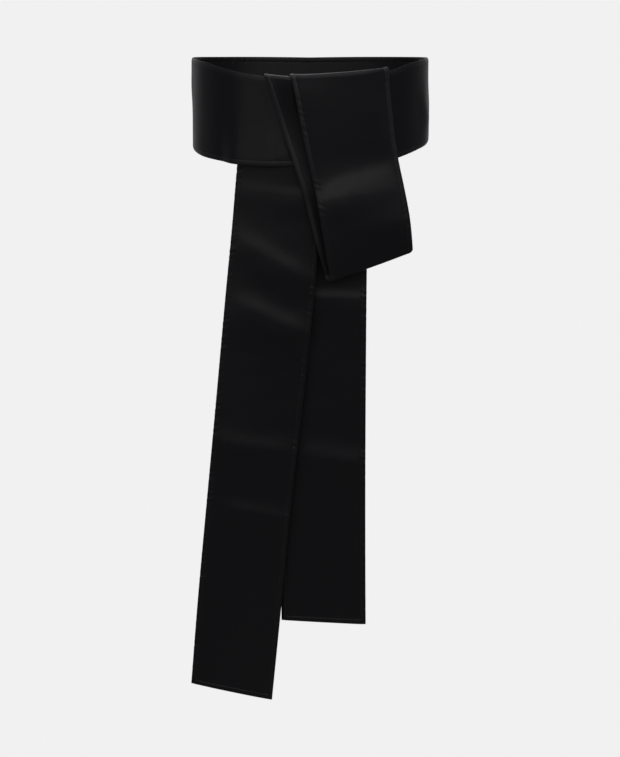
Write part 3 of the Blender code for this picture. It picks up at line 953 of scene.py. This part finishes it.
# %% [markdown]
# ## Stage
# A plain pale floor lies as far below the belt as it would below a standing wearer's waist. The
# camera sees it and the room as one even pale paper. For every other ray the floor is a matt grey
# and the room is dim, lighter upwards, because black satin shows whatever stands round it.

# %% Pale floor and backdrop
FLOOR_HEIGHT = -1.05
FLOOR_RADIUS = 3.0
FLOOR_GREY = (0.3, 0.3, 0.3, 1.0)
BACKDROP = "#f1f1f1"


def pale_backdrop():
    """A plain matt paper backdrop, evenly lit wherever the camera sees it."""
    material, tree = bare_material("backdrop_paper")
    seen = node(tree, "LightPath")
    even = node(tree, "Emission", Strength=1.0)
    even.inputs["Color"].default_value = linear(BACKDROP)
    matt = node(tree, "BsdfDiffuse")
    matt.inputs["Color"].default_value = FLOOR_GREY
    both = node(tree, "MixShader", [("Fac", seen.outputs["Is Camera Ray"]),
                                    (1, matt.outputs["BSDF"]), (2, even.outputs["Emission"])])
    node(tree, "OutputMaterial", [("Surface", both.outputs["Shader"])])
    return material


bpy.ops.object.select_all(action="DESELECT")
bpy.ops.mesh.primitive_circle_add(vertices=96, radius=FLOOR_RADIUS, fill_type="NGON",
                                  location=(0, 0, FLOOR_HEIGHT))
floor = bpy.context.object
floor.name = "floor"
floor.data.materials.append(pale_backdrop())
print("floor at", FLOOR_HEIGHT, "m")

# %% The room
ROOM_LIGHT = (0.145, 0.145, 0.157, 1.0)
world = bpy.data.worlds.new("studio")
bpy.context.scene.world = world
world.use_nodes = True
tree = world.node_tree
tree.nodes.clear()
ray = node(tree, "LightPath")
seen_sky = node(tree, "Background", Strength=1.0)
seen_sky.inputs["Color"].default_value = linear(BACKDROP)
way = node(tree, "TexCoord")
axes = node(tree, "SeparateXYZ", [("Vector", way.outputs["Generated"])])
upward = node(tree, "MapRange", [("Value", axes.outputs["Z"])], interpolation_type="SMOOTHSTEP",
              From_Min=-0.7, From_Max=0.2, To_Min=0.3, To_Max=1.2)
dim_room = node(tree, "Background", [("Strength", upward.outputs["Result"])])
dim_room.inputs["Color"].default_value = ROOM_LIGHT
room = node(tree, "MixShader", [("Fac", ray.outputs["Is Camera Ray"]),
                                (1, dim_room.outputs["Background"]),
                                (2, seen_sky.outputs["Background"])])
node(tree, "OutputWorld", [("Surface", room.outputs["Shader"])])
bpy.context.scene.view_settings.view_transform = "Standard"
print("room lit by", world.name)

# %% [markdown]
# ## Lights
# Black satin is drawn by its reflections. A long low light in front gives the soft bands on the
# creases, and two tall ones behind the sides give the bright rims. A second long light stands
# behind: it lights the back, and grazes the folds on top into a bright line. Each azimuth is in
# degrees to the viewer's right of the front, each elevation in degrees above level, and each
# distance and size in metres.

# %% Soft lights
LIGHTS = {
    "name": ("key_front", "key_back", "window_left", "window_behind", "window_right", "rim_left",
             "rim_right", "floor_front", "floor_back", "top"),
    "azimuth": (0.0, 180.0, -46.0, 226.0, 42.0, -150.0, 150.0, 0.0, 180.0, 0.0),
    "elevation": (26.0, 26.0, 14.0, 14.0, 34.0, 4.0, 4.0, -38.0, -38.0, 86.0),
    "distance": (2.2, 2.2, 2.0, 2.0, 2.0, 2.2, 2.2, 1.3, 1.3, 1.8),
    "width": (2.7, 2.7, 0.5, 0.5, 0.7, 0.8, 0.8, 1.6, 1.6, 1.2),
    "height": (0.45, 0.45, 0.9, 0.9, 0.6, 1.2, 1.2, 0.3, 0.3, 1.2),
    "watts": (7.8, 4.2, 1.5, 0.3, 2.8, 1.1, 1.2, 0.5, 0.8, 6.0),
}
AIM = (0.0, 0.0, -0.2)
for name, azimuth, elevation, distance, width, height, watts in zip(*LIGHTS.values()):
    lamp = bpy.data.lights.new(name, "AREA")
    lamp.shape = "RECTANGLE"
    lamp.size = width
    lamp.size_y = height
    lamp.energy = watts
    stand = bpy.data.objects.new(name, lamp)
    bpy.context.scene.collection.objects.link(stand)
    turn, rise = math.radians(azimuth), math.radians(elevation)
    stand.location = (AIM[0] + distance * math.sin(turn) * math.cos(rise),
                      AIM[1] - distance * math.cos(turn) * math.cos(rise),
                      AIM[2] + distance * math.sin(rise))
    stand.rotation_euler = (math.pi / 2 - rise, 0.0, turn)
    stand.visible_camera = False
print(len(LIGHTS["name"]), "soft lights")

# %% [markdown]
# ## Camera
# The far rim of the band shows just above its near rim, so the camera looks down by about 8
# degrees. The sash hardly tapers, so it stands well away, with a long lens.

# %% Camera
IMAGE_WIDTH, IMAGE_HEIGHT = 620, 757
CAMERA_DISTANCE = 3.5
CAMERA_PITCH = math.radians(8.0)
CAMERA_AIM_HEIGHT = -0.289
FOCAL_PIXELS = 3347.0
SENSOR_HEIGHT_MM = 24.0
PICTURE_MIDDLE = (309.8, 378.5)

lens = bpy.data.cameras.new("photo_camera")
lens.sensor_fit = "VERTICAL"
lens.sensor_height = SENSOR_HEIGHT_MM
lens.lens = FOCAL_PIXELS / IMAGE_HEIGHT * SENSOR_HEIGHT_MM
lens.shift_x = (IMAGE_WIDTH / 2 - PICTURE_MIDDLE[0]) / IMAGE_HEIGHT
lens.shift_y = (PICTURE_MIDDLE[1] - IMAGE_HEIGHT / 2) / IMAGE_HEIGHT
lens.clip_end = 50.0
camera = bpy.data.objects.new("photo_camera", lens)
bpy.context.scene.collection.objects.link(camera)
camera.location = (0.0, -CAMERA_DISTANCE * math.cos(CAMERA_PITCH),
                   CAMERA_AIM_HEIGHT + CAMERA_DISTANCE * math.sin(CAMERA_PITCH))
camera.rotation_euler = (math.pi / 2 - CAMERA_PITCH, 0.0, 0.0)
bpy.context.scene.camera = camera
print("camera at", [round(value, 3) for value in camera.location])
